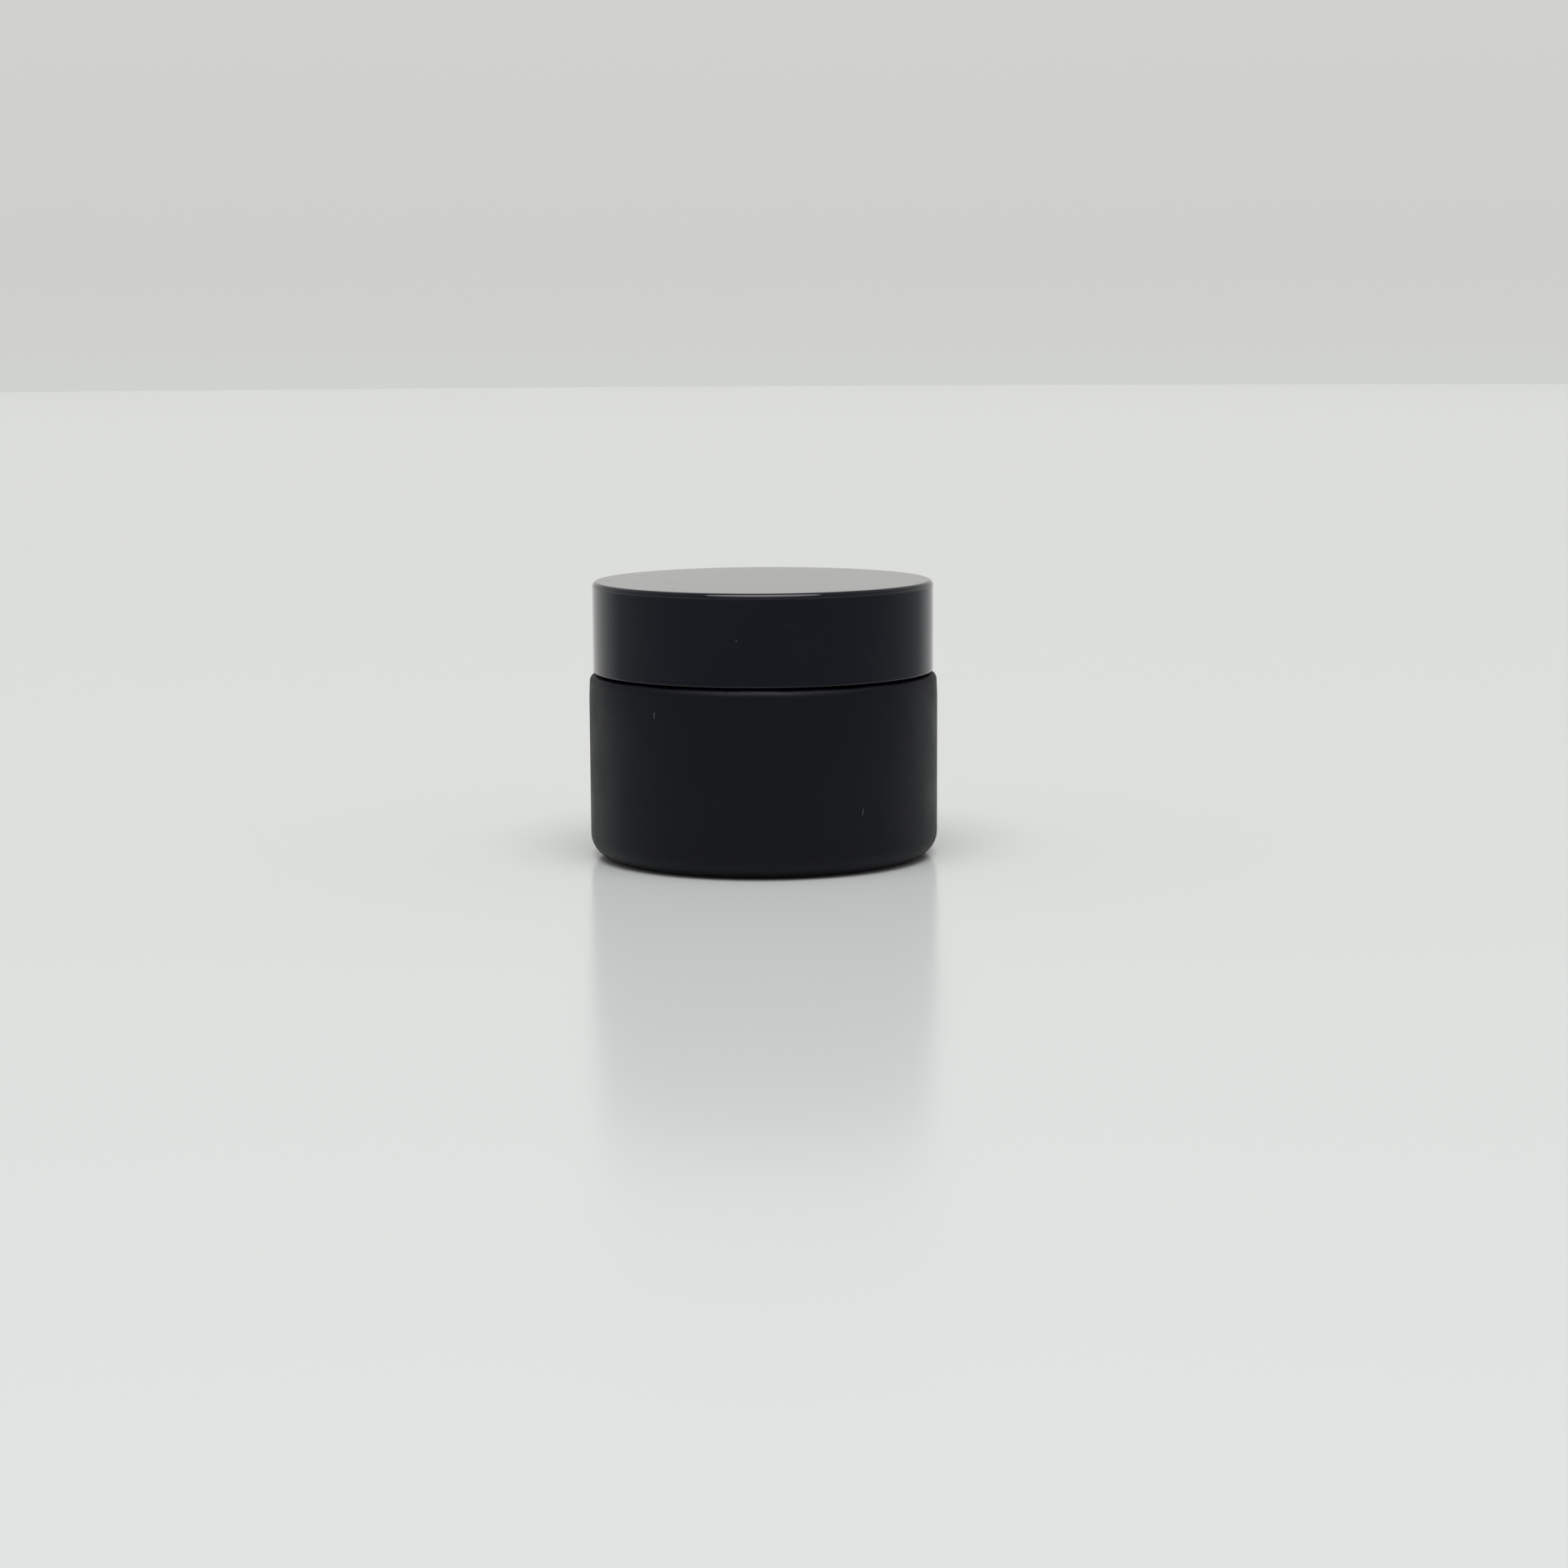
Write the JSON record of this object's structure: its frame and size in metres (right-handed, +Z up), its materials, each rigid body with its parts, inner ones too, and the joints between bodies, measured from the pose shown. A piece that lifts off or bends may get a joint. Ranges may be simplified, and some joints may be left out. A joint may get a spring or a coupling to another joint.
{
  "type": "cosmetic cream jar",
  "caption": "Round thick-walled cosmetic cream jar in matt black coated glass, with a glossy black flat-topped screw lid, inner cap, liner and sealing disc.",
  "frame": {"origin": "middle of the jar's base, on the surface that it stands on", "axes": "+Z up along the jar's axis, towards the lid's flat top; the thread is the only feature that isn't the same all round, and it starts on +X"},
  "size_m": [0.06, 0.06, 0.0475],
  "materials": {
    "coated_glass": "pressed glass with a soft-touch matt black coating outside",
    "lid_gloss": "moulded plastic with a high polish",
    "cap_plastic": "plain moulded polypropylene",
    "liner_foam": "closed-cell polyethylene foam with a smooth skin",
    "natural_plastic": "thin milky polyethylene"
  },
  "bodies": {
    "jar": {"glass_jar": "coated_glass"},
    "seal": {"sealing_disc": "natural_plastic", "lid_liner": "liner_foam"},
    "lid": {"lid_inner_cap": "cap_plastic", "lid_shell": "lid_gloss"}
  },
  "joints": [
    {"name": "lid_rise", "type": "slide", "parent": "jar", "child": "seal", "axis": [0, 0, 1], "range_m": [0, 0.0126]},
    {"name": "lid_turn", "type": "hinge", "parent": "seal", "child": "lid", "pos_m": [0, 0, 0.032], "axis": [0, 0, 1], "range_deg": [0, 1080]}
  ],
  "couplings": [
    {"joint": "lid_rise", "follows": "lid_turn", "m_per_rad": 0.00066845}
  ]
}
